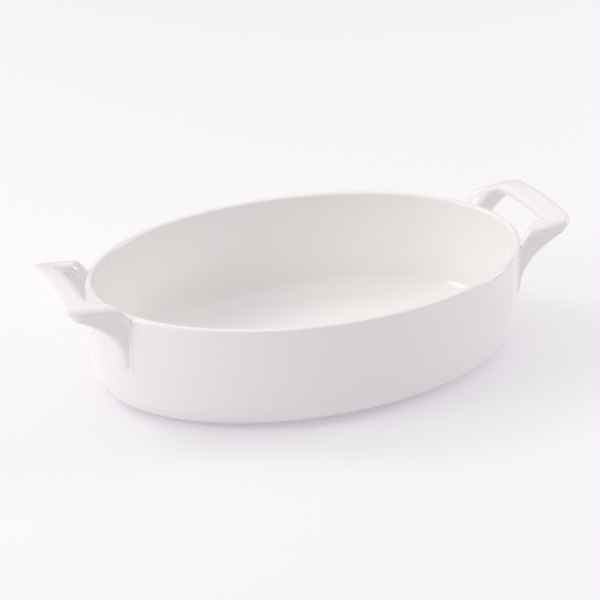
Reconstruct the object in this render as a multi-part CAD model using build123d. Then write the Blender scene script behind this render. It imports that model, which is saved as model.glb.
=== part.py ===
# Oval gratin dish in glazed porcelain, with a loop handle at each end.
# Millimetres, +Z up. The origin is at the middle of the base, on the surface that the dish stands on.
# +X runs along the long axis to the right handle. The front is the -Y side.
import math
import os

from build123d import *

# The dish body
rim_length = 270.0  # over the outside of the lip, along X
rim_width = 184.0  # over the outside of the lip, along Y
dish_height = 68.0  # from the table to the top of the lip
wall_thickness = 4.5
floor_thickness = 5.0
end_draft = 2.0  # how far each end leans in from the rim to the base
side_draft = 5.0  # how far each long side leans in from the rim to the base
bottom_radius = 21.0  # the large round between the wall and the base, outside
lip_round_share = 0.44  # of the wall's thickness, on both edges of the lip
foot_ring_width = 5.0
foot_ring_height = 1.5
foot_ring_round = 0.6

# The loop of each handle: a strap bent into two arms and a crossbar
finger_gap = 10.0  # from the end of the lip out to the crossbar
crossbar_width = 16.0  # across the crossbar, along X
crossbar_rise = 13.3  # from the lip up to the middle of the crossbar's outer top edge, before it is rounded
crossbar_tilt = 6.0  # degrees, up and outwards
crossbar_sag = 3.0  # how far the arched strap drops from its middle to the outer sides of the arms
arch_share = 0.75  # of the opening's width, which the arch spans before it runs on straight
strap_thickness = 5.6
arm_width = 11.0  # across each arm, along Y
arm_slope = 55.0  # degrees, the climb of the arm out of the lip
arm_root_thickness = 4.6  # across the arm at the wall
strap_round_share = 0.4  # of the arm's thickness at the wall, on the strap's long edges
arm_bend_radius = 8.0  # in the arm's top, where it levels out into the crossbar
arm_under_bend_radius = 5.0
loop_opening_width = 52.0  # between the arms, along Y
loop_opening_round = 4.0  # corners of the opening
loop_corner_round = 10.0  # outer corners of the loop

# The leg under each arm
leg_width = 9.0  # along the wall
leg_recess = 3.2  # the leg's side sits this far in from the arm's side
foot_drop = 34.0  # from the top of the lip down to the lower end of the leg
foot_proud = 2.4  # how far the foot stands out from the wall
foot_length = 4.0  # the leg's straight stretch above its lower end
leg_round = 1.8  # on the leg's outer edges
sweep_end_inset = 5.0  # the leg's sweep dies out this far in from the outside of the crossbar
sweep_middle_shares = (0.32, 0.58)  # of the sweep's whole run and rise, where its two arcs meet

# The slip joints between the handles and the wall
slip_thickness = 0.8
slip_border = 1.9  # how far the slip shows round each foot

overrun = 12.0  # cutting and joining shapes run this far past what they cut or join

# Worked out from the sizes above
opening_end = rim_length / 2 + finger_gap
handle_end = opening_end + crossbar_width
arm_inside = loop_opening_width / 2
arm_outside = arm_inside + arm_width
arch_end = arm_inside * arch_share
arch_slope = crossbar_sag / (arm_outside - arch_end / 2)
leg_outside = arm_outside - leg_recess
leg_inside = leg_outside - leg_width
foot_height = dish_height - foot_drop
arm_root_depth = arm_root_thickness / math.cos(math.radians(arm_slope))
strap_round = arm_root_thickness * strap_round_share
lip_radius = wall_thickness * lip_round_share
slip_top = dish_height - lip_radius
tilt_rise = math.tan(math.radians(crossbar_tilt))
strap_depth = strap_thickness / math.cos(math.radians(crossbar_tilt))


def half_length(height, growth=0.0):
    """Half the length of the wall's outside at this height, grown outwards by growth."""
    return rim_length / 2 - end_draft * (1 - height / dish_height) + growth


def half_width(height, growth=0.0):
    """Half the width of the wall's outside at this height, grown outwards by growth."""
    return rim_width / 2 - side_draft * (1 - height / dish_height) + growth


def wall_x(side, height=dish_height):
    """How far out along X the wall's outside is, at this distance from the long axis."""
    return half_length(height) * math.sqrt(1 - (side / half_width(height)) ** 2)


def oval_block(growth, bottom, top):
    """The wall's outside form, grown by growth, as a solid between two heights."""
    outlines = [
        Location((0, 0, height)) * Ellipse(half_length(height, growth), half_width(height, growth))
        for height in (bottom, top)
    ]
    return loft(outlines, ruled=True)


def round_bottom(block, radius):
    """Round the lower edge of an oval block."""
    return fillet(block.edges().group_by(Axis.Z)[0], radius)


def make_body():
    """Oval shell with a flat floor, a rounded lip and a foot ring."""
    outside = round_bottom(oval_block(0, 0, dish_height), bottom_radius)
    inner_radius = bottom_radius - wall_thickness
    inside = round_bottom(oval_block(-wall_thickness, floor_thickness, dish_height + overrun), inner_radius)
    body = outside - inside
    body = fillet(body.edges().group_by(Axis.Z)[-1], lip_radius)
    recess_inset = bottom_radius + foot_ring_width
    recess = Ellipse(half_length(0) - recess_inset, half_width(0) - recess_inset)
    body = body - extrude(recess, foot_ring_height)
    ring_edge = body.edges().group_by(Axis.Z)[0].sort_by(SortBy.LENGTH)[0]
    return fillet(ring_edge, foot_ring_round)


def strap_line(along, side, below=0.0):
    """Side view of the strap's tilted top over an arm: the point this far out, or this far below it."""
    sag = crossbar_sag - (arm_outside - side) * arch_slope
    return Vector(along, dish_height + crossbar_rise - sag - (handle_end - along) * tilt_rise - below)


def arm_root(side):
    """Side view of where the arm's top leaves the wall, level with the lip on average over the arm."""
    rise = (arm_outside - arm_width / 2 - side) * arch_slope
    return Vector(wall_x(side), dish_height + rise)


def strap_corner(root, side, below=0.0):
    """Where the arm's climb from root meets the strap's tilted top, or the line this far below it."""
    climb = math.tan(math.radians(arm_slope))
    run = (strap_line(root.X, side, below).Y - root.Y) / (climb - tilt_rise)
    return root + Vector(run, run * climb)


def buried(root, corner):
    """The far end of the line from corner through root, run on into the wall."""
    return root + (root - corner).normalized() * overrun


def bend_line(root, corner, end, radius, room):
    """Side view of one face of an arm: up from inside the wall, round the bend and out to the end."""
    half_turn = (corner - root).get_angle(end - corner) / 2
    limit = room / math.tan(math.radians(half_turn))
    return FilletPolyline(buried(root, corner), corner, end, radius=min(radius, limit))


def skewed(profile, width, skew):
    """Extrude a side view towards the long axis, following the wall's curve, the tilt and the arch."""
    across = Vector(skew, 1, skew * tilt_rise + arch_slope)
    return extrude(profile, width * across.length, dir=across)


def make_arm():
    """Front arm of the strap, from inside the wall to the crossbar."""
    root = arm_root(arm_outside)
    under_root = root - Vector(0, arm_root_depth)
    corner = strap_corner(root, arm_outside)
    under_corner = strap_corner(under_root, arm_outside, strap_depth)
    skew = (wall_x(arm_inside) - root.X) / arm_width
    bend_end = opening_end - loop_opening_round - skew * arm_width
    end = strap_line(opening_end, arm_outside)
    under_end = strap_line(opening_end, arm_outside, strap_depth)
    top = bend_line(root, corner, end, arm_bend_radius, bend_end - corner.X)
    underside = bend_line(under_root, under_corner, under_end, arm_under_bend_radius, bend_end - under_corner.X)
    inner_end = Line(buried(root, corner), buried(under_root, under_corner))
    profile = Plane.XZ.offset(arm_outside) * make_face([top, Line(end, under_end), underside, inner_end])
    return skewed(profile, arm_width, skew)


def arched_line(below=0.0):
    """End view of the strap's top where the crossbar begins, or of the line this far below it."""
    outer_end = strap_line(opening_end, arm_outside, below).Y
    arch_foot = strap_line(opening_end, arch_end, below).Y
    arch = TangentArc((-arch_end, arch_foot), (arch_end, arch_foot), tangent=(1, arch_slope))
    return [
        Line((-arm_outside, outer_end), (-arch_end, arch_foot)),
        arch,
        Line((arch_end, arch_foot), (arm_outside, outer_end)),
    ]


def make_crossbar():
    """Arched and tilted bar, over the whole width of the loop."""
    top, underside = arched_line(), arched_line(strap_depth)
    ends = [Line(top[0] @ 0, underside[0] @ 0), Line(top[-1] @ 1, underside[-1] @ 1)]
    end_view = Plane.YZ.offset(opening_end) * make_face(top + underside + ends)
    outwards = Vector(1, 0, tilt_rise)
    return extrude(end_view, crossbar_width * outwards.length, dir=outwards)


def make_loop():
    """Two arms and a crossbar in one bent strap, with all its long edges rounded."""
    arm = make_arm()
    loop = arm + make_crossbar() + mirror(arm, Plane.XZ)
    loop = fillet(loop.edges().filter_by(Axis.Z).group_by(Axis.X)[-1], loop_corner_round)
    opening_corners = loop.edges().filter_by(Axis.Z).filter_by_position(Axis.X, opening_end, opening_end)
    loop = fillet(opening_corners, loop_opening_round)
    long_edges = loop.edges().sort_by(lambda edge: abs(edge.center().Y))[:4]
    return fillet(long_edges, strap_round)


def make_leg():
    """Leg under the front arm: a foot on the wall and a web that sweeps out to the crossbar."""
    wall = wall_x(leg_outside, foot_height)
    skew = (wall_x(leg_inside, foot_height) - wall) / leg_width
    toe = Vector(wall + foot_proud * math.hypot(1, skew), foot_height)
    knee = toe + Vector(0, foot_length)
    tip = strap_line(handle_end - sweep_end_inset, leg_outside, strap_depth)
    run_share, rise_share = sweep_middle_shares
    sweep_middle = knee + Vector((tip.X - knee.X) * run_share, (tip.Y - knee.Y) * rise_share)
    lower_sweep = TangentArc(knee, sweep_middle, tangent=(0, 1))
    root = arm_root(leg_outside) - Vector(0, arm_root_depth / 2)
    hidden_edge = Polyline(
        tip,
        strap_line(tip.X, leg_outside, strap_depth / 2),
        strap_corner(root, leg_outside, strap_depth / 2),
        root,
        Vector(wall - wall_thickness, root.Y),
        Vector(wall - wall_thickness, foot_height),
        toe,
    )
    upper_sweep = TangentArc(sweep_middle, tip, tangent=lower_sweep % 1)
    profile = Plane.XZ.offset(leg_outside) * make_face([Line(toe, knee), lower_sweep, upper_sweep, hidden_edge])
    leg = skewed(profile, leg_width, skew)
    foot_edges = leg.edges().filter_by(Axis.Z).filter_by_position(Axis.X, wall, handle_end)
    bottom_edges = leg.faces().sort_by(Axis.Z)[0].edges()
    toe_edge = bottom_edges.group_by(SortBy.LENGTH)[-1].sort_by(Axis.X)[-1]
    return fillet(foot_edges + [toe_edge], leg_round)


def make_handle():
    """Right handle: the loop on its two legs, cut to sit on the slip round the wall."""
    leg = make_leg()
    wall_block = oval_block(slip_thickness, 0, dish_height + overrun)
    return make_loop() + leg + mirror(leg, Plane.XZ) - wall_block


def slip_patch(near, far, bottom):
    """End view of the slip behind a foot or arm, which spans two distances from the long axis."""
    width = far - near + 2 * slip_border
    patch = RectangleRounded(width, slip_top - bottom + slip_border, slip_border, align=(Align.CENTER, Align.MAX))
    return Plane.YZ * Location((-(near + far) / 2, slip_top)) * patch


def make_slip_joint():
    """Slip between the wall and the front leg and arm of the right handle."""
    under_arm = arm_root(arm_outside).Y - arm_root_depth
    patches = slip_patch(leg_inside, leg_outside, foot_height) + slip_patch(arm_inside, arm_outside, under_arm)
    bottom = foot_height - slip_border
    shell = oval_block(slip_thickness, bottom, slip_top) - oval_block(0, bottom, slip_top)
    return shell & extrude(patches, handle_end)


def make_parts():
    """Every node's solid, by name."""
    parts = {"dish_body": make_body()}
    handle = make_handle()
    slip_joint = make_slip_joint()
    for side in ("left", "right"):
        parts[side + "_handle"] = handle
        parts[side + "_handle_front_slip_joint"] = slip_joint
        parts[side + "_handle_back_slip_joint"] = mirror(slip_joint, Plane.XZ)
    for name in [name for name in parts if name.startswith("left")]:
        parts[name] = mirror(parts[name], Plane.YZ)
    return parts


if __name__ == "__main__":
    os.makedirs("parts", exist_ok=True)
    for node, solid in make_parts().items():
        export_step(solid, "parts/" + node + ".step")
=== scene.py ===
# Oval gratin dish in white glazed porcelain, with a loop handle at each end.
# Metres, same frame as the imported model: +X along the long axis, the front is the -Y side,
# and z = 0 is the table.
import math

import bmesh
import bpy
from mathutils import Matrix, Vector


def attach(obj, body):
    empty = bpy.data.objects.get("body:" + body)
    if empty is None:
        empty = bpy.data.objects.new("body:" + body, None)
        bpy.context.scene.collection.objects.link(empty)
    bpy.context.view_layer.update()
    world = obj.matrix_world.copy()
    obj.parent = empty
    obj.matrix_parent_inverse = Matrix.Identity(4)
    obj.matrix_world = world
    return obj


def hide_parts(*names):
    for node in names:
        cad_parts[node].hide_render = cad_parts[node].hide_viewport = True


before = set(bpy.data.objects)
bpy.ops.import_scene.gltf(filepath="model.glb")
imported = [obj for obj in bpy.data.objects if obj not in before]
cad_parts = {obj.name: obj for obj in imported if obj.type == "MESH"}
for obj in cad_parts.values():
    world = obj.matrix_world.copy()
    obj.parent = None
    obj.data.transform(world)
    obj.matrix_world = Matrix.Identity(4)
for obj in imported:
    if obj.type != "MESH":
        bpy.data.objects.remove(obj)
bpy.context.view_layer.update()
mm = 0.001
near = 0.1 * mm        # points this close count as on the same line while a shape is rough
touching = 0.01 * mm   # and this close as in the same plane
exact = 0.001 * mm     # and this close as the same place
placeDigits = 6        # of a metre, as fine as exact
flatAngle = 0.01       # faces that turn less than this, in radians, become one
print("stage: frame loaded with", len(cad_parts), "nodes")


# Selecting and shaping, as by hand

def makeActive(piece):
    if bpy.context.object and bpy.context.object.mode != "OBJECT":
        bpy.ops.object.mode_set(mode="OBJECT")
    bpy.ops.object.select_all(action="DESELECT")
    if piece:
        piece.select_set(True)
        bpy.context.view_layer.objects.active = piece


def openEdit(piece, kind="VERT"):
    makeActive(piece)
    bpy.ops.object.mode_set(mode="EDIT")
    bpy.ops.mesh.select_mode(type=kind)


def closeEdit():
    bpy.ops.object.mode_set(mode="OBJECT")


def pickVerts(piece, test):
    mesh = bmesh.from_edit_mesh(piece.data)
    for vert in mesh.verts:
        vert.select_set(False)
    for vert in mesh.verts:
        if test(vert.co):
            vert.select_set(True)
    mesh.select_flush(True)
    bmesh.update_edit_mesh(piece.data)


def pickEdges(piece, test):
    mesh = bmesh.from_edit_mesh(piece.data)
    for face in mesh.faces:
        face.select_set(False)
    for edge in mesh.edges:
        edge.select_set(False)
    for edge in mesh.edges:
        if test(edge.verts[0].co, edge.verts[1].co):
            edge.select_set(True)
    bmesh.update_edit_mesh(piece.data)


def placeVert(piece, place):
    # puts the selected vertex at this place
    mesh = bmesh.from_edit_mesh(piece.data)
    for vert in mesh.verts:
        if vert.select:
            vert.co = place
    bmesh.update_edit_mesh(piece.data)


def applyAll(piece):
    makeActive(piece)
    for modifier in list(piece.modifiers):
        bpy.ops.object.modifier_apply(modifier=modifier.name)


def copyOf(piece, name):
    makeActive(piece)
    bpy.ops.object.duplicate()
    twin = bpy.context.object
    twin.name = name
    twin.data.name = name
    return twin


def joined(name, pieces):
    makeActive(pieces[0])
    for piece in pieces:
        piece.select_set(True)
    bpy.ops.object.join()
    pieces[0].name = name
    pieces[0].data.name = name
    return pieces[0]


def fuse(piece, voxel, passes, strength=0.5):
    # one skin round all the shells of the piece, then softened as the glaze softens it
    remesh = piece.modifiers.new("skin", "REMESH")
    remesh.mode = "VOXEL"
    remesh.voxel_size = voxel
    soft = piece.modifiers.new("soften", "SMOOTH")
    soft.factor = strength
    soft.iterations = passes
    applyAll(piece)


def keepSide(piece, point, normal):
    # cuts the piece along a plane, drops what lies on the normal's side and closes the cut
    openEdit(piece)
    bpy.ops.mesh.select_all(action="SELECT")
    bpy.ops.mesh.bisect(plane_co=point, plane_no=normal, use_fill=True, clear_outer=True)
    closeEdit()


def shrink(piece, amount):
    # a positive amount swells the piece
    openEdit(piece)
    bpy.ops.mesh.select_all(action="SELECT")
    bpy.ops.transform.shrink_fatten(value=amount)
    closeEdit()


def flipped(piece, name, axis):
    twin = copyOf(piece, name)
    openEdit(twin)
    bpy.ops.mesh.select_all(action="SELECT")
    bpy.ops.transform.resize(value=[-1 if i == axis else 1 for i in range(3)], center_override=(0, 0, 0))
    bpy.ops.mesh.normals_make_consistent(inside=False)
    closeEdit()
    return twin


def smoothShade(piece):
    makeActive(piece)
    bpy.ops.object.shade_smooth()


# The dish body

body = {
    "halfLength": 135.0 * mm,      # at the lip
    "halfWidth": 92.0 * mm,
    "height": 68.0 * mm,
    "wall": 4.5 * mm,
    "floor": 5.0 * mm,
    "endLean": 2.0 * mm,           # from lip to base
    "sideLean": 5.0 * mm,
    "bottomRound": 21.0 * mm,
    "lipRound": 1.98 * mm,
    "footWidth": 5.0 * mm,
    "footHeight": 1.5 * mm,
    "footRound": 0.6 * mm,
    "segments": 256,
    "roundSteps": 14,              # rings in the round at the bottom
    "lipAngles": range(0, 91, 10),
    "footAngles": (0, 30, 60, 90),
    "recessShares": (0.02, 0.2, 0.45, 0.7, 0.88, 0.97),   # rings under the floor, from the middle outwards
    "wallShares": (0.12, 0.3, 0.5, 0.7, 0.88, 0.96),      # rings up the straight part of the wall
    "floorShares": (0.97, 0.9, 0.75, 0.5, 0.25, 0.02),    # rings on the floor inside, towards the middle
}


def leanAt(z):
    share = 1 - z / body["height"]
    return (body["halfLength"] - body["endLean"] * share, body["halfWidth"] - body["sideLean"] * share)


def roundedInset(z, bottom, radius, lean):
    # how far the round at the bottom draws in from the leaning wall at this height
    slope = math.atan(lean / body["height"])
    tangentHeight = bottom + radius * (1 - math.sin(slope))
    if z >= tangentHeight:
        return 0.0
    centre = radius * (1 / math.cos(slope) - math.tan(slope)) + (z - bottom) * math.tan(slope)
    return centre - math.sqrt(max(radius ** 2 - (radius - (z - bottom)) ** 2, 0))


def wallRing(z, inset, bottom, radius):
    along, across = leanAt(z)
    return (
        along - inset - roundedInset(z, bottom, radius, body["endLean"]),
        across - inset - roundedInset(z, bottom, radius, body["sideLean"]),
        z,
    )


def outerRing(z):
    return wallRing(z, 0.0, 0.0, body["bottomRound"])


def innerRing(z):
    return wallRing(z, body["wall"], body["floor"], body["bottomRound"] - body["wall"])


def lipRing(turn, inset):
    lipStart = body["height"] - body["lipRound"]
    along, across = leanAt(lipStart)
    return (along - inset, across - inset, lipStart + body["lipRound"] * math.sin(turn))


def footRings():
    # the recess under the floor, then down the inner side of the foot ring to its flat
    base = leanAt(0)
    soft = body["footRound"]
    recess = [half - body["bottomRound"] - body["footWidth"] for half in base]
    turns = [math.radians(angle) for angle in body["footAngles"]]
    rings = [(recess[0] * share, recess[1] * share, body["footHeight"]) for share in body["recessShares"]]
    for turn in turns:
        out = -soft + soft * math.sin(turn)
        rings.append((recess[0] + out, recess[1] + out, body["footHeight"] - soft * (1 - math.cos(turn))))
    for turn in turns:
        out = soft * (1 - math.cos(turn))
        rings.append((recess[0] + out, recess[1] + out, soft * (1 - math.sin(turn))))
    ringMiddle = [half - body["bottomRound"] - body["footWidth"] / 2 for half in base]
    rings.append((ringMiddle[0], ringMiddle[1], 0.0))
    return rings


def bodyRings():
    # half length, half width and height of each oval: under the floor, up outside, over the lip, down inside
    steps = body["roundSteps"]
    quarter = [math.pi / 2 * i / steps for i in range(steps + 1)]
    lip = body["lipRound"]
    lipStart = body["height"] - lip
    innerRound = body["bottomRound"] - body["wall"]
    innerStart = body["floor"] + innerRound
    rings = footRings()
    for turn in quarter:
        rings.append(outerRing(body["bottomRound"] * (1 - math.cos(turn))))
    for share in body["wallShares"]:
        rings.append(outerRing(body["bottomRound"] + (lipStart - body["bottomRound"]) * share))
    for angle in body["lipAngles"]:
        turn = math.radians(angle)
        rings.append(lipRing(turn, lip * (1 - math.cos(turn))))
    for angle in reversed(body["lipAngles"]):
        turn = math.radians(angle)
        rings.append(lipRing(turn, body["wall"] - lip * (1 - math.cos(turn))))
    for share in reversed(body["wallShares"]):
        rings.append(innerRing(innerStart + (lipStart - innerStart) * share))
    for turn in reversed(quarter):
        rings.append(innerRing(body["floor"] + innerRound * (1 - math.cos(turn))))
    floorEdge = rings[-1]
    for share in body["floorShares"]:
        rings.append((floorEdge[0] * share, floorEdge[1] * share, body["floor"]))
    return rings


def makeBody():
    rings = bodyRings()
    makeActive(None)
    along, across, z = rings[0]
    bpy.ops.mesh.primitive_circle_add(vertices=body["segments"], radius=1, fill_type="NGON")
    piece = bpy.context.object
    piece.name = "dishBody"
    piece.data.name = "dishBody"
    openEdit(piece)
    bpy.ops.mesh.select_all(action="SELECT")
    bpy.ops.transform.resize(value=(along, across, 1))
    bpy.ops.transform.translate(value=(0, 0, z))
    bpy.ops.mesh.select_mode(type="EDGE")
    for along2, across2, z2 in rings[1:]:
        bpy.ops.mesh.extrude_edges_move()
        bpy.ops.transform.resize(value=(along2 / along, across2 / across, 1), center_override=(0, 0, z))
        bpy.ops.transform.translate(value=(0, 0, z2 - z))
        along, across, z = along2, across2, z2
    bpy.ops.mesh.edge_face_add()
    bpy.ops.mesh.select_all(action="SELECT")
    bpy.ops.mesh.normals_make_consistent(inside=False)
    closeEdit()
    smoothShade(piece)
    return piece


dishBody = makeBody()
print("stage: body made")


# The handles

handle = {
    "end": 161.0 * mm,             # outside of the crossbar
    "opening": 145.0 * mm,         # inside of the crossbar
    "armInside": 26.0 * mm,
    "armOutside": 37.0 * mm,
    "armStart": 9.0 * mm,          # how far behind its root the flat arm begins
    "flatThickness": 8.6 * mm,     # while it is still flat, it is pressed down to thickness when it is bent
    "thickness": 5.4 * mm,
    "topRound": 4.8 * mm,          # on the flat strap's upper edges
    "underRound": 2.8 * mm,        # and on its lower ones
    "edgeSteps": 6,                # faces in those rounds
    "cornerRound": 9.5 * mm,
    "cornerSteps": 14,
    "openingRound": 4.5 * mm,
    "openingSteps": 10,
    "crossbarTop": 81.3 * mm,      # at the middle of the outside, before it is rounded
    "arch": 3.0 * mm,              # how far the crossbar's ends sag below its middle
    "tilt": math.tan(math.radians(6)),
    "climb": math.tan(math.radians(55)),
    "rootDepth": 7.0 * mm,         # height of the arm's root on the wall
    "topBend": 3.7 * mm,           # how soft the bend in the top is
    "underBend": 2.6 * mm,
    "bury": 2.4 * mm,              # how deep the roots run into the wall
    "legOutside": 33.6 * mm,
    "legInside": 24.0 * mm,
    "legRidge": 31.3 * mm,         # where the leg stands out most
    "legShelter": 0.42,            # how much less it stands out at its inside
    "legShelterCurve": 1.5,        # how late that loss sets in
    "legFlare": 2.2 * mm,          # how much further out its outer side is at the top
    "legDraw": 2.7 * mm,           # and its inner side, which ends flush with the strap's
    "legLap": 4.0 * mm,            # how far below the arm's climb the leg's inner edge follows it
    "legRound": 2.2 * mm,
    "legSteps": 4,
    "footLow": 34.0 * mm,
    "roughVoxel": 0.6 * mm,        # for the strap and the legs, each alone
    "roughPasses": 1,
    "voxel": 0.42 * mm,            # for the whole handle
    "softPasses": 7,
}
# the leg's outer edge: height, and how far it stands out from the wall, both in millimetres
legSweep = [
    (34.0, 2.4), (37.0, 2.5), (40.0, 2.7), (43.0, 3.1), (46.0, 3.8), (49.0, 5.0),
    (52.0, 6.7), (55.0, 8.8), (58.0, 11.5), (61.0, 15.0), (63.5, 18.4), (65.5, 21.4),
    (67.5, 24.6), (69.0, 27.4), (70.2, 30.0), (73.0, 31.6),
]
squareCorner = 0.3     # a new square's corners lie beyond this, and the leg's own points all lie within it


def wallAt(y, z):
    along, across = leanAt(z)
    return along * math.sqrt(max(1 - (y / across) ** 2, 0))


def softMin(a, b, width):
    overlap = max(width - abs(a - b), 0) / width
    return min(a, b) - overlap ** 2 * width / 4


def crossbarTopAt(x, y):
    sag = handle["arch"] * (y / handle["armOutside"]) ** 2
    return handle["crossbarTop"] - (handle["end"] - x) * handle["tilt"] - sag


def strapTop(x, y):
    climbing = body["height"] + (x - wallAt(y, body["height"])) * handle["climb"]
    return softMin(climbing, crossbarTopAt(x, y), handle["topBend"])


def strapUnder(x, y):
    climbing = body["height"] - handle["rootDepth"] + (x - wallAt(y, body["height"])) * handle["climb"]
    return softMin(climbing, crossbarTopAt(x, y) - handle["thickness"], handle["underBend"])


def cutFlatStrap(rootX):
    # the strap's front half, flat: a corner square, then the arm and half the crossbar drawn out of it
    low, far, corner = -handle["armOutside"], handle["end"], handle["opening"]
    middle = ((corner + far) / 2, (low - handle["armInside"]) / 2, 0)
    makeActive(None)
    bpy.ops.mesh.primitive_plane_add(size=1, location=middle)
    piece = bpy.context.object
    piece.name = "strap"
    openEdit(piece, "EDGE")
    bpy.ops.mesh.select_all(action="SELECT")
    width = handle["armOutside"] - handle["armInside"]
    bpy.ops.transform.resize(value=(far - corner, width, 1))
    closeEdit()
    bpy.ops.object.transform_apply(location=True, rotation=True, scale=True)
    openEdit(piece, "EDGE")
    pickEdges(piece, lambda a, b: a.x < corner + near and b.x < corner + near)
    bpy.ops.mesh.extrude_edges_move()
    bpy.ops.transform.translate(value=(rootX - corner, 0, 0))
    inner = -handle["armInside"] - near
    pickEdges(piece, lambda a, b: min(a.y, b.y) > inner and min(a.x, b.x) > corner - near)
    bpy.ops.mesh.extrude_edges_move()
    bpy.ops.transform.translate(value=(0, handle["armInside"], 0))
    bpy.ops.mesh.select_all(action="SELECT")
    bpy.ops.mesh.dissolve_limited(angle_limit=flatAngle)
    bpy.ops.mesh.select_mode(type="VERT")
    pickVerts(piece, lambda c: c.x > far - near and c.y < low + near)
    bpy.ops.mesh.bevel(offset=handle["cornerRound"], segments=handle["cornerSteps"], affect="VERTICES")
    pickVerts(piece, lambda c: abs(c.x - corner) < near and abs(c.y + handle["armInside"]) < near)
    bpy.ops.mesh.bevel(offset=handle["openingRound"], segments=handle["openingSteps"], affect="VERTICES")
    bpy.ops.mesh.select_all(action="SELECT")
    bpy.ops.mesh.extrude_region_move()
    bpy.ops.transform.translate(value=(0, 0, handle["flatThickness"]))
    bpy.ops.mesh.select_mode(type="EDGE")
    bpy.ops.mesh.select_all(action="SELECT")
    bpy.ops.mesh.normals_make_consistent(inside=False)
    closeEdit()
    return piece


def addBackHalf(piece):
    mirror = piece.modifiers.new("back half", "MIRROR")
    mirror.use_axis = (False, True, False)
    mirror.use_clip = True
    applyAll(piece)
    openEdit(piece, "EDGE")
    # the faces that meet in the middle go, and the two halves become one
    bpy.ops.mesh.select_all(action="DESELECT")
    bpy.ops.mesh.select_mode(type="FACE")
    mesh = bmesh.from_edit_mesh(piece.data)
    for face in mesh.faces:
        face.select_set(all(abs(vert.co.y) < touching for vert in face.verts))
    bmesh.update_edit_mesh(piece.data)
    bpy.ops.mesh.delete(type="FACE")
    bpy.ops.mesh.select_mode(type="EDGE")
    bpy.ops.mesh.select_all(action="SELECT")
    bpy.ops.mesh.dissolve_limited(angle_limit=flatAngle)


def makeStrap():
    # cut out flat, rounded, then bent up to its side view
    rootX = wallAt(handle["armOutside"], body["height"]) - handle["armStart"]
    piece = cutFlatStrap(rootX)
    addBackHalf(piece)
    for height, size in ((handle["flatThickness"], handle["topRound"]), (0, handle["underRound"])):
        pickEdges(piece, lambda a, b: max(abs(a.z - height), abs(b.z - height)) < touching
                  and max(a.x, b.x) > rootX + near)
        bpy.ops.mesh.bevel(offset=size, segments=handle["edgeSteps"], affect="EDGES")
    closeEdit()
    fuse(piece, handle["roughVoxel"], handle["roughPasses"])
    for vert in piece.data.vertices:
        x, y, z = vert.co
        x = max(x, wallAt(y, body["height"]) - handle["bury"])
        under, top = strapUnder(x, y), strapTop(x, y)
        vert.co = (x, y, under + (top - under) * z / handle["flatThickness"])
    return piece


def legRows():
    # inner edge, outer edge and height of each step up the leg's side view
    rows = []
    for z, out in legSweep:
        inner = max(-handle["bury"], (z * mm - body["height"] + handle["legLap"]) / handle["climb"])
        rows.append((inner, out * mm, z * mm))
    return rows


def drawLeg(rows):
    # a strip is drawn up the leg's side view and thickened
    makeActive(None)
    bpy.ops.mesh.primitive_plane_add(size=1, location=(0, 0, 0), rotation=(math.pi / 2, 0, 0))
    piece = bpy.context.object
    piece.name = "leg"
    bpy.ops.object.transform_apply(location=True, rotation=True, scale=True)
    openEdit(piece, "EDGE")
    for (inner, outer, z), high in ((rows[0], -1), (rows[1], 1)):
        for x, far in ((inner, -1), (outer, 1)):
            pickVerts(piece, lambda c: c.z * high > squareCorner and c.x * far > squareCorner)
            placeVert(piece, (x, 0, z))
    last = rows[1]
    pickEdges(piece, lambda a, b: abs(a.z - last[2]) < exact and abs(b.z - last[2]) < exact)
    for row in rows[2:]:
        bpy.ops.mesh.extrude_edges_move()
        stretch = (row[1] - row[0]) / (last[1] - last[0])
        bpy.ops.transform.resize(value=(stretch, 1, 1), center_override=(last[0], 0, last[2]))
        bpy.ops.transform.translate(value=(row[0] - last[0], 0, row[2] - last[2]))
        last = row
    bpy.ops.mesh.select_all(action="SELECT")
    bpy.ops.transform.translate(value=(0, -handle["legOutside"], 0))
    bpy.ops.mesh.extrude_region_move()
    bpy.ops.transform.translate(value=(0, handle["legOutside"] - handle["legInside"], 0))
    bpy.ops.mesh.select_all(action="SELECT")
    bpy.ops.mesh.normals_make_consistent(inside=False)
    return piece


def makeLeg():
    rows = legRows()
    piece = drawLeg(rows)
    sweep = {round(z, placeDigits): outer for inner, outer, z in rows}

    def onSweep(point):
        return abs(sweep.get(round(point.z, placeDigits), math.inf) - point.x) < exact

    # the two long outer edges and the foot's lower outer edge are rounded
    pickEdges(piece, lambda a, b: onSweep(a) and onSweep(b) and
              (abs(a.y - b.y) < exact or abs(a.z - rows[0][2]) < exact))
    bpy.ops.mesh.bevel(offset=handle["legRound"], segments=handle["legSteps"], affect="EDGES")
    closeEdit()
    fuse(piece, handle["roughVoxel"], handle["roughPasses"])
    width = handle["legOutside"] - handle["legInside"]
    for vert in piece.data.vertices:
        x, y, z = vert.co
        # the sweep dies away towards the inside, and the leg flares a little towards its top
        inward = max(handle["legRidge"] + y, 0) / (handle["legRidge"] - handle["legInside"])
        if x > 0:
            x *= 1 - handle["legShelter"] * inward ** handle["legShelterCurve"]
        rise = (z - handle["footLow"]) / (body["height"] - handle["footLow"])
        outward = (-y - handle["legInside"]) / width
        y -= rise * (handle["legFlare"] * outward + handle["legDraw"] * (1 - outward))
        # and it is wrapped on the wall
        vert.co = (x + wallAt(y, z), y, z)
    return piece


def makeHandle():
    strap = makeStrap()
    frontLeg = makeLeg()
    backLeg = flipped(frontLeg, "backLeg", 1)
    piece = joined("rightHandle", [strap, frontLeg, backLeg])
    fuse(piece, handle["voxel"], handle["softPasses"])
    smoothShade(piece)
    return piece


rightHandle = makeHandle()
leftHandle = flipped(rightHandle, "leftHandle", 0)
smoothShade(leftHandle)
print("stage: handles made", len(rightHandle.data.polygons))


# The slip joints

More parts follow.
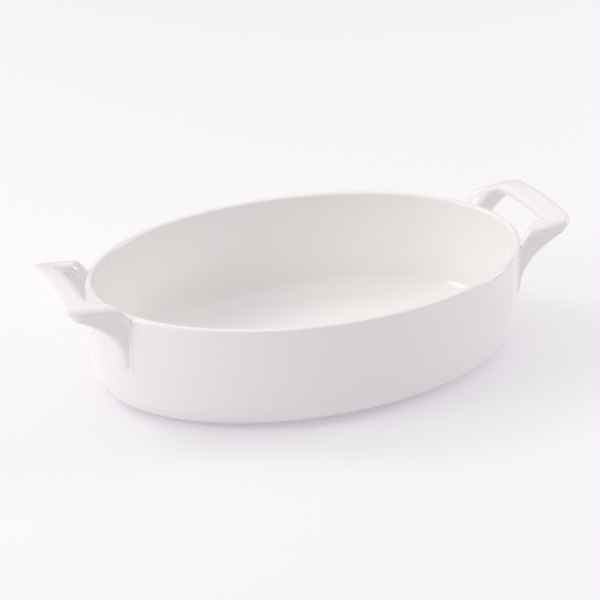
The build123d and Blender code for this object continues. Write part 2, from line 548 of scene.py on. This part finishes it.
joint = {
    "under": 0.08 * mm,            # the slip runs this far under the wall and the handle before it shows
    "reach": 4.5 * mm,             # how far it follows the handle out from the wall
    "side": 5.0 * mm,              # how far past the arm's sides its slab of wall is cut
    "below": 6.0 * mm,             # and how far below the foot
    "slabStart": 100.0 * mm,       # and how far out from the middle of the dish
    "border": 1.9 * mm,            # raised border round the foot
    "borderRise": 0.45 * mm,
    "borderTop": 62.0 * mm,        # the border runs up to this height
    "borderMiddle": 50.0 * mm,     # height at which its depth in the wall is set
    "borderDepth": 2.0 * mm,
    "voxel": 0.36 * mm,
    "softPasses": 12,
}


def makeSlipJoint():
    # front joint of the right handle
    nearY, farY = handle["armInside"] - joint["side"], handle["armOutside"] + joint["side"]
    slab = copyOf(dishBody, "slab")
    keepSide(slab, (0, -farY, 0), (0, -1, 0))
    keepSide(slab, (0, -nearY, 0), (0, 1, 0))
    keepSide(slab, (joint["slabStart"], 0, 0), (-1, 0, 0))
    keepSide(slab, (0, 0, handle["footLow"] - joint["below"]), (0, 0, -1))
    pad = copyOf(slab, "pad")
    shrink(slab, -joint["under"])
    border = joint["border"]
    keepSide(pad, (0, -handle["legOutside"] - border, 0), (0, -1, 0))
    keepSide(pad, (0, -handle["legInside"] + border, 0), (0, 1, 0))
    keepSide(pad, (0, 0, handle["footLow"] - border), (0, 0, -1))
    keepSide(pad, (0, 0, joint["borderTop"]), (0, 0, 1))
    midY = -(handle["armInside"] + handle["armOutside"]) / 2
    wallPoint = Vector((wallAt(midY, joint["borderMiddle"]), midY, 0))
    facing = (wallPoint.x / body["halfLength"] ** 2, wallPoint.y / body["halfWidth"] ** 2, 0)
    out = Vector(facing).normalized()   # straight out from the oval wall
    keepSide(pad, wallPoint - out * joint["borderDepth"], -out)
    shrink(pad, joint["borderRise"])
    root = copyOf(rightHandle, "root")
    keepSide(root, (0, -nearY, 0), (0, 1, 0))
    topPoint = Vector((wallAt(midY, body["height"]), midY, 0))
    keepSide(root, topPoint + out * joint["reach"], out)
    shrink(root, -joint["under"])
    piece = joined("rightFrontSlip", [slab, pad, root])
    fuse(piece, joint["voxel"], joint["softPasses"])
    smoothShade(piece)
    return piece


rightFrontSlip = makeSlipJoint()
rightBackSlip = flipped(rightFrontSlip, "rightBackSlip", 1)
leftFrontSlip = flipped(rightFrontSlip, "leftFrontSlip", 0)
leftBackSlip = flipped(rightBackSlip, "leftBackSlip", 0)
for piece in (rightBackSlip, leftFrontSlip, leftBackSlip):
    smoothShade(piece)
print("stage: slip joints made", len(rightFrontSlip.data.polygons))


# The glaze

class Socket:
    # wraps a node's output, so that shader maths reads as an expression
    def __init__(self, board, out):
        self.board = board
        self.out = out

    def maths(self, operation, first, second):
        return self.board.node("Math", {"operation": operation}, {0: first, 1: second})

    def __add__(self, other):
        return self.maths("ADD", self, other)

    __radd__ = __add__

    def __mul__(self, other):
        return self.maths("MULTIPLY", self, other)

    __rmul__ = __mul__

    def __sub__(self, other):
        return self.maths("SUBTRACT", self, other)

    def __rsub__(self, other):
        return self.maths("SUBTRACT", other, self)

    def __lt__(self, other):
        return self.maths("LESS_THAN", self, other)

    def orNone(self):
        # never below nought
        return self.maths("MAXIMUM", self, 0.0)


class Board:
    # the nodes of a material or of the world
    def __init__(self, tree):
        self.tree = tree
        self.tree.nodes.clear()

    def node(self, kind, settings, sockets, output=0):
        node = self.tree.nodes.new("ShaderNode" + kind)
        for name, value in settings.items():
            setattr(node, name, value)
        for name, value in sockets.items():
            if isinstance(value, Socket):
                self.tree.links.new(value.out, node.inputs[name])
            else:
                node.inputs[name].default_value = value
        return Socket(self, node.outputs[output]) if node.outputs else None

    def place(self, axis, kind="Object"):
        # the point's own place on the model, as a vector or as one number
        point = self.node("TexCoord", {}, {}, kind)
        return self.node("SeparateXYZ", {}, {"Vector": point}, axis) if axis else point

    def between(self, factor, first, second):
        return self.node("Mix", {"data_type": "RGBA"}, {0: factor, 6: first, 7: second}, 2)

    def noise(self, scale, detail):
        return self.node("TexNoise", {}, {"Vector": self.place(""), "Scale": scale, "Detail": detail})


def newMaterial(name):
    material = bpy.data.materials.new(name)
    material.use_nodes = True
    return material, Board(material.node_tree)


glaze = {
    "white": (0.940, 0.915, 0.905, 1),
    "cool": (0.932, 0.908, 0.908, 1),
    "bare": (0.80, 0.765, 0.70, 1),   # the foot ring, which stands unglazed in the kiln
    "bareHeight": 0.35 * mm,
    "bareRough": 0.45,             # how much duller bare clay is
    "cloudScale": 22.0,            # the slight cloud in the white, about 45 mm across
    "cloudDetail": 2.0,
    "cloudContrast": 2.2,
    "cloudStart": 0.6,
    "cloudDulling": 0.05,          # how much duller the clouds make the gloss
    "gloss": 0.12,
    "rippleScale": 70.0,           # the faint ripple, about 14 mm across
    "speckScale": 900.0,           # the fine specks, about 1 mm across
    "fineDetail": 1.0,
    "speckShare": 0.02,            # of the ripple's height
    "bumpStrength": 0.35,
    "bumpHeight": 0.22 * mm,
    "bend": 1.5,                   # how strongly glass bends light
}


def makeGlaze():
    material, board = newMaterial("whiteGlaze")
    clouds = board.noise(glaze["cloudScale"], glaze["cloudDetail"])
    ripple = board.noise(glaze["rippleScale"], glaze["fineDetail"])
    specks = board.noise(glaze["speckScale"], glaze["fineDetail"])
    bare = board.place("Z") < glaze["bareHeight"]
    cloudy = clouds * glaze["cloudContrast"] - glaze["cloudStart"]
    tint = board.between(cloudy, glaze["white"], glaze["cool"])
    colour = board.between(bare, tint, glaze["bare"])
    rough = glaze["gloss"] + clouds * glaze["cloudDulling"] + bare * glaze["bareRough"]
    bump = board.node("Bump", {}, {
        "Strength": glaze["bumpStrength"], "Distance": glaze["bumpHeight"],
        "Height": ripple + specks * glaze["speckShare"],
    })
    shader = board.node("BsdfPrincipled", {}, {
        "Base Color": colour, "Roughness": rough, "IOR": glaze["bend"], "Normal": bump,
    })
    board.node("OutputMaterial", {}, {"Surface": shader})
    return material


whiteGlaze = makeGlaze()


def dress(piece, material, *nodes):
    piece.data.materials.clear()
    piece.data.materials.append(material)
    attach(piece, "root")
    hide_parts(*nodes)


dress(dishBody, whiteGlaze, "dish_body")
dress(rightHandle, whiteGlaze, "right_handle")
dress(leftHandle, whiteGlaze, "left_handle")
dress(rightFrontSlip, whiteGlaze, "right_handle_front_slip_joint")
dress(rightBackSlip, whiteGlaze, "right_handle_back_slip_joint")
dress(leftFrontSlip, whiteGlaze, "left_handle_front_slip_joint")
dress(leftBackSlip, whiteGlaze, "left_handle_back_slip_joint")
print("stage: glaze on")


# Floor, light and camera

studio = {
    "floorSize": 6.0,
    "floorWhite": (0.70, 0.70, 0.70, 1),
    "floorRough": 0.9,
    "floorGlow": (0.225, 0.21, 0.24, 1),   # the table is lit through from below, so shadows stay faint
    "tentColour": (1.0, 0.99, 0.985, 1),
    "tentAbove": 1.0,              # brightness of the light tent's roof, which fades towards its walls
    "tentLeft": 0.29,              # and of its left wall
    "tentBehind": 0.24,            # and of its back wall; its front and its right wall stay dark
    "cameraTarget": (0.0064, 0.0245, 0.0270),
    "cameraAzimuth": -23.93,
    "cameraElevation": 25.69,
    "cameraDistance": 1.35,
    "lens": 132.8,
    "sensor": 36,
    "nearest": 0.01,               # the camera sees nothing closer than this
}
# name, place, aimed at, size across and up, power, colour
softLights = [
    ("backLeftBox", (-0.9, 0.75, 1.1), (0, 0, 0.03), (0.45, 0.45), 3.7, (1, 1, 1)),
    ("leftBox", (-1.3, 0.0, 0.75), (0, 0, 0.03), (0.45, 0.35), 2.8, (1, 1, 0.98)),
    ("lowLeftBox", (-1.35, 0.05, 0.25), (0, 0, 0.05), (0.5, 0.25), 0.7, (1, 0.98, 0.98)),
    ("rightBox", (1.4, -0.15, 0.5), (0, 0, 0.03), (0.45, 0.35), 4.8, (1, 0.99, 1)),
]


def makeFloor():
    makeActive(None)
    bpy.ops.mesh.primitive_plane_add(size=studio["floorSize"], location=(0, 0, 0))
    piece = bpy.context.object
    piece.name = "studioFloor"
    material, board = newMaterial("palePaper")
    shader = board.node("BsdfPrincipled", {}, {
        "Base Color": studio["floorWhite"], "Roughness": studio["floorRough"],
        "Emission Color": studio["floorGlow"], "Emission Strength": 1.0,
    })
    board.node("OutputMaterial", {}, {"Surface": shader})
    piece.data.materials.append(material)


def makeLights():
    for name, place, aim, (across, up), power, colour in softLights:
        bpy.ops.object.light_add(type="AREA", location=place)
        lamp = bpy.context.object
        lamp.name = name
        lamp.data.shape = "RECTANGLE"
        lamp.data.size = across
        lamp.data.size_y = up
        lamp.data.energy = power
        lamp.data.color = colour
        lamp.rotation_euler = (Vector(aim) - Vector(place)).to_track_quat("-Z", "Y").to_euler()


def makeTent():
    world = bpy.data.worlds.new("lightTent")
    bpy.context.scene.world = world
    world.use_nodes = True
    board = Board(world.node_tree)
    side, back, up = (board.place(axis, "Generated") for axis in ("X", "Y", "Z"))
    strength = (up.orNone() * studio["tentAbove"] + (0 - side).orNone() * studio["tentLeft"]
                + back.orNone() * studio["tentBehind"])
    background = board.node("Background", {}, {"Color": studio["tentColour"], "Strength": strength})
    board.node("OutputWorld", {}, {"Surface": background})


def makeCamera():
    turn = math.radians(studio["cameraAzimuth"])
    rise = math.radians(studio["cameraElevation"])
    target = Vector(studio["cameraTarget"])
    back = Vector((math.sin(turn) * math.cos(rise), -math.cos(turn) * math.cos(rise), math.sin(rise)))
    place = target + back * studio["cameraDistance"]
    bpy.ops.object.camera_add(location=place)
    camera = bpy.context.object
    camera.name = "studioCamera"
    camera.rotation_euler = (target - place).to_track_quat("-Z", "Y").to_euler()
    camera.data.lens = studio["lens"]
    camera.data.sensor_width = studio["sensor"]
    camera.data.clip_start = studio["nearest"]
    bpy.context.scene.camera = camera


makeFloor()
makeLights()
makeTent()
makeCamera()
bpy.context.scene.view_settings.view_transform = "Standard"
print("stage: studio set")
